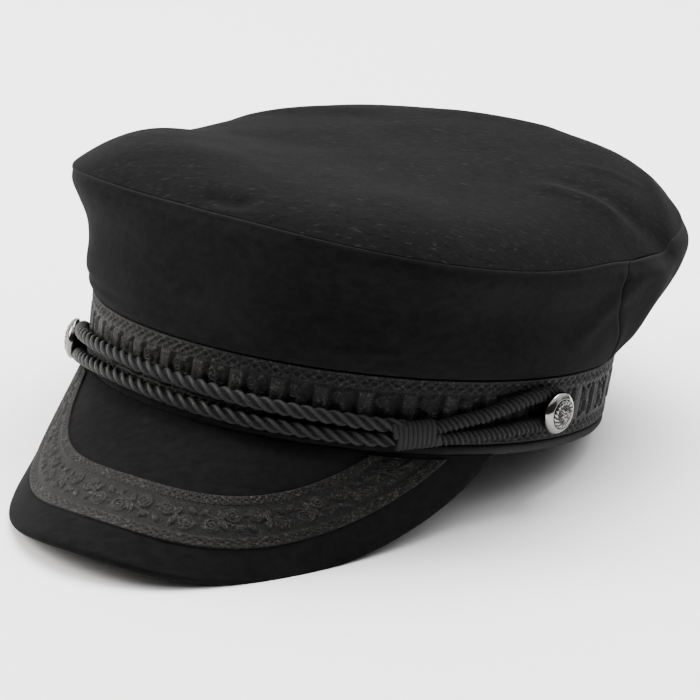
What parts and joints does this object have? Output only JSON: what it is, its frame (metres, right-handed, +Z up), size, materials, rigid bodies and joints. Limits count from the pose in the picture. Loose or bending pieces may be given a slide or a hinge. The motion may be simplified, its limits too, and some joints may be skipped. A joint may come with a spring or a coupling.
{
  "type": "wool mariner's cap",
  "caption": "Soft-crowned wool cap with a stiff sloping peak, woven braid round the band and along the peak, and a twisted cord held by a wound slide knot between domed metal buttons.",
  "frame": {"origin": "middle of the cap's footprint box, on the table that it stands on", "axes": "-Y towards the peak, +X towards the wearer's left, +Z up; the cap leans back on its band as it does on a table"},
  "size_m": [0.1968, 0.286, 0.1089],
  "materials": {
    "wool": "matte black wool felt",
    "top_wool": "matte black wool felt with short loose fibres",
    "band_braid": "black woven braid with raised ribs and scrolls",
    "peak_braid": "charcoal woven braid with small raised scrolls",
    "cord": "black silky twisted cord",
    "button": "polished silver with a raised plain ornament"
  },
  "bodies": {
    "root": {"head_band": "wool", "band_braid": "band_braid", "crown_side_front": "wool", "crown_side_back": "wool", "crown_top": "top_wool", "peak": "wool", "peak_braid": "peak_braid", "cord_long": "cord", "cord_short": "cord", "slide_knot": "cord", "button_left": "button", "button_right": "button"}
  },
  "joints": []
}
